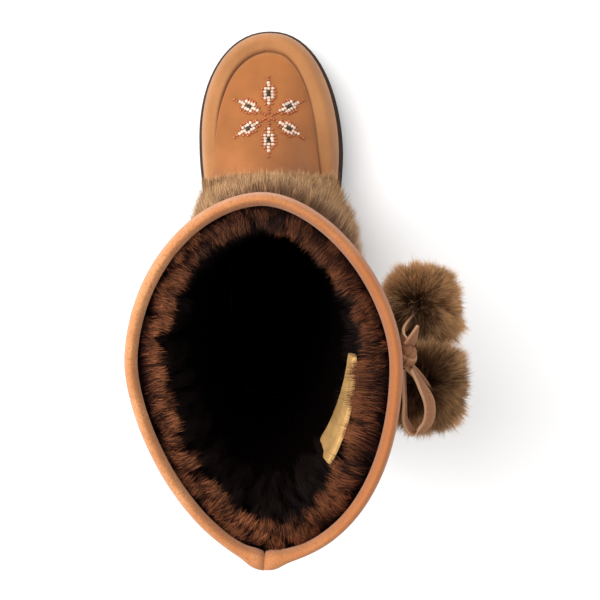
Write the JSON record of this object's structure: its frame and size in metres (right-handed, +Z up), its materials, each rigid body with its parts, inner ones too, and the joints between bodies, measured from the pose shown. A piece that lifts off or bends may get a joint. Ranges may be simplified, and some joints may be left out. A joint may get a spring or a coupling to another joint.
{
  "type": "mukluk boot",
  "caption": "Tall suede mukluk boot with a moccasin toe, a fur ankle band, a plush lining, a side bow and hanging fur pompoms.",
  "frame": {"origin": "on the floor under the middle of the boot's box, measured without the bow, its cords and the pompoms", "axes": "+Z up, +Y to the toe, +X to the outer side of a right foot"},
  "size_m": [0.1553, 0.2842, 0.33],
  "materials": {
    "outsole": "dark brown moulded rubber, matt",
    "insole": "dark brown plush pile",
    "upper": "tan suede with a soft nap",
    "lining": "dark brown plush with copper tips",
    "fur": "grey-brown ticked rabbit fur",
    "binding": "tan suede, rolled",
    "patch": "ochre tan suede",
    "lacing": "flat brown suede lace with pale cut edges",
    "beads": "small glossy seed beads in copper, white and black",
    "thread": "tan sewing thread"
  },
  "bodies": {
    "root": {"outsole": "outsole", "insole": "insole", "upper": "upper", "fur_cuff": "fur", "collar_binding": "binding", "lining_patch": "patch", "tie_band": "lacing", "bow_knot": "lacing", "bow_loop": "lacing", "bow_tail": "lacing", "pompom_cord_front": "lacing", "pompom_cord_back": "lacing", "pompom_front": "fur", "pompom_back": "fur"}
  },
  "joints": []
}
